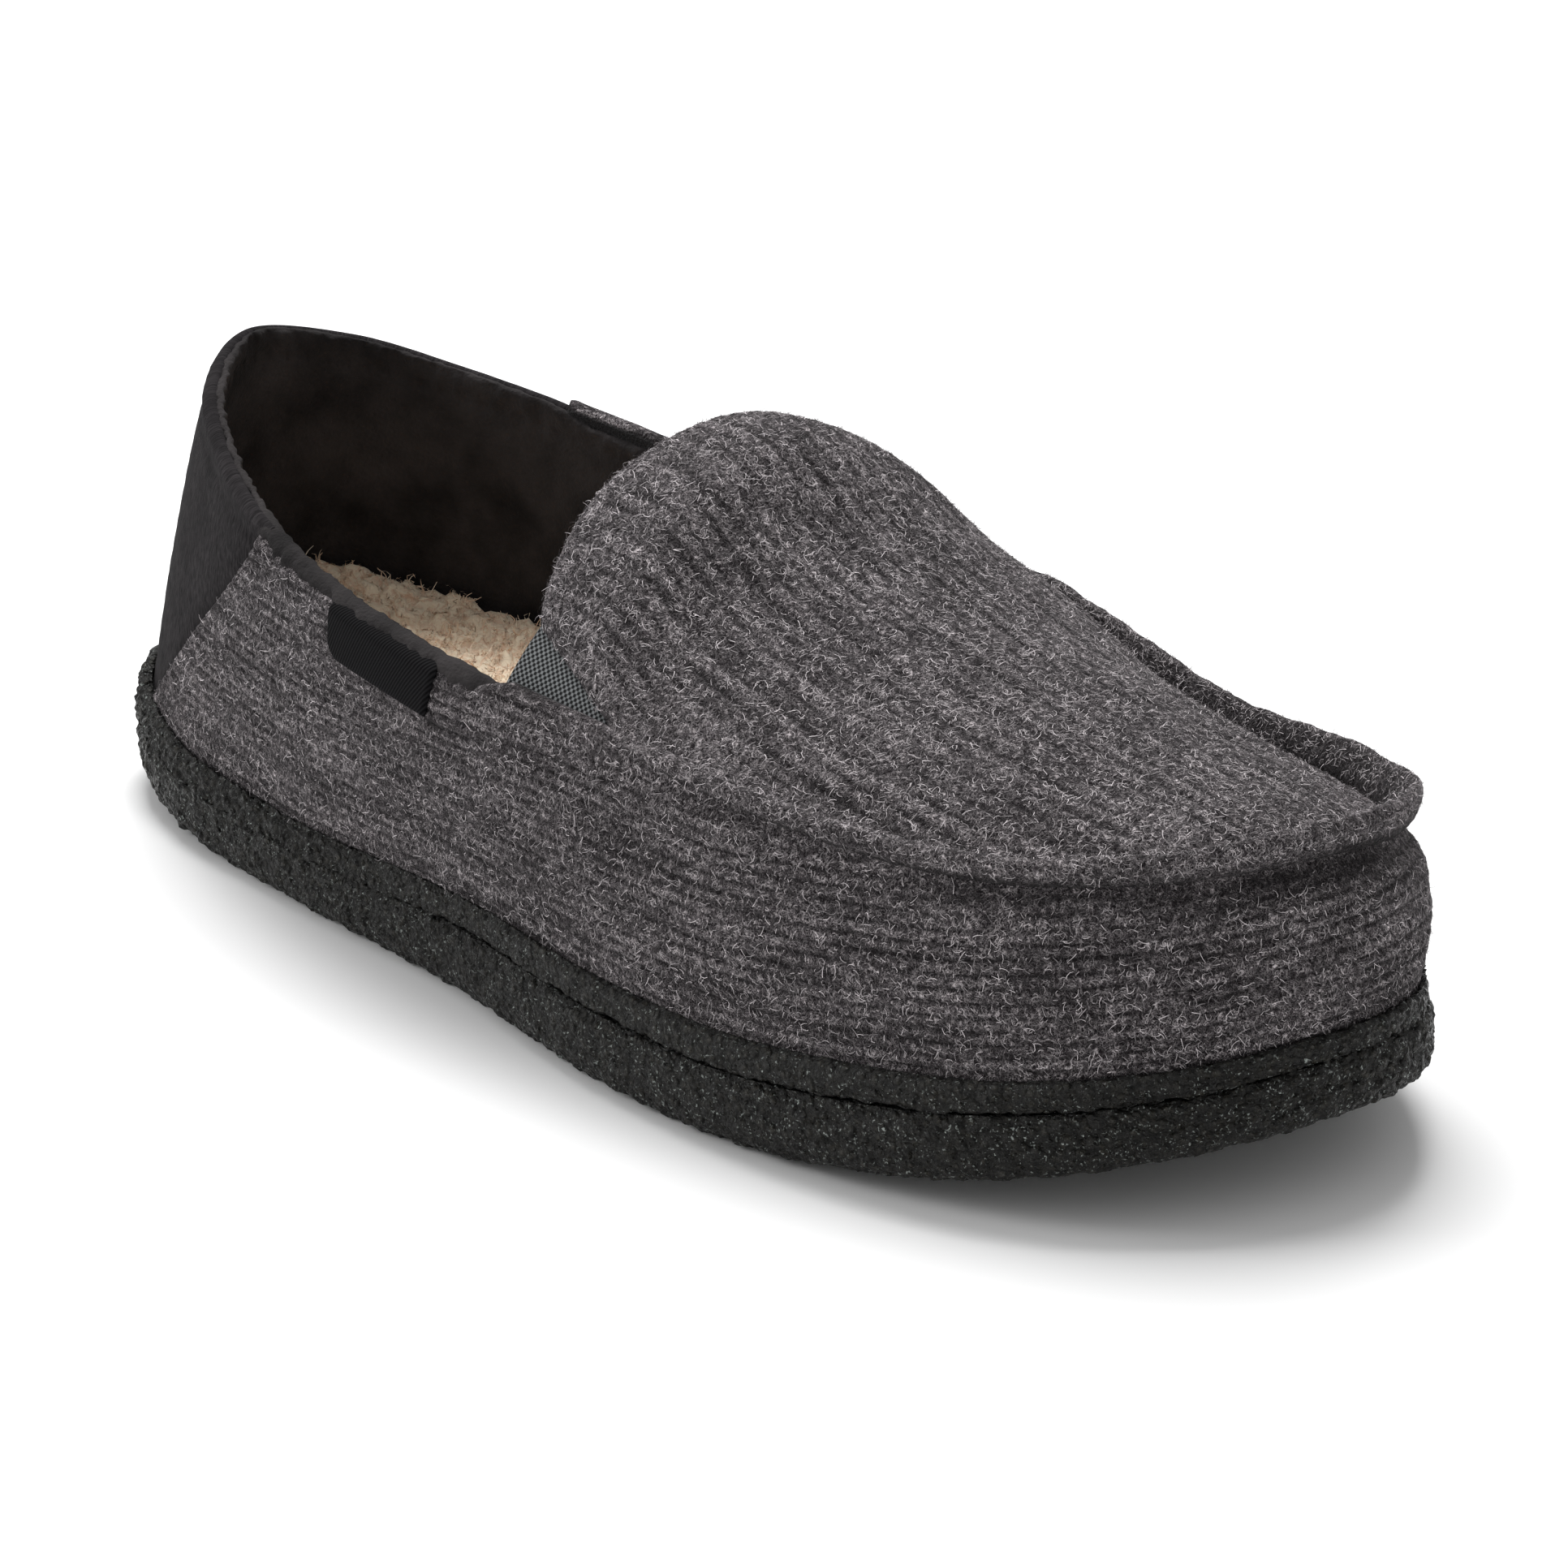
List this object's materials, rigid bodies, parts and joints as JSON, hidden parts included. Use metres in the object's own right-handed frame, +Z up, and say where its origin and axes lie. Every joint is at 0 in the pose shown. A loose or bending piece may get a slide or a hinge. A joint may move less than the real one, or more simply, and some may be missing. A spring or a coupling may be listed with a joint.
{
  "type": "knitted slipper",
  "caption": "Right-foot closed slipper with a knitted upper, raised vamp seam, elastic gores, suede heel panel, fleece footbed and a rubber sole with a toe spring.",
  "frame": {"origin": "on the floor, in the middle of the sole's length and width", "axes": "+X to the toe, +Y to the inner side of the foot, +Z up"},
  "size_m": [0.303, 0.112, 0.0986],
  "materials": {
    "rubber": "dark crumb rubber, dull with fine glints",
    "knit": "brushed heathered charcoal wool knit with fine ribs",
    "suede": "near black synthetic suede with a brushed nap",
    "webbing": "slate grey elastic webbing with a fine grid weave",
    "fleece": "cream curly fleece pile",
    "ribbon": "black twill ribbon"
  },
  "bodies": {
    "root": {"outsole": "rubber", "rand": "rubber", "upper": "knit", "heel_panel": "suede", "gore_lateral": "webbing", "gore_medial": "webbing", "insole": "fleece", "label": "ribbon"}
  },
  "joints": []
}
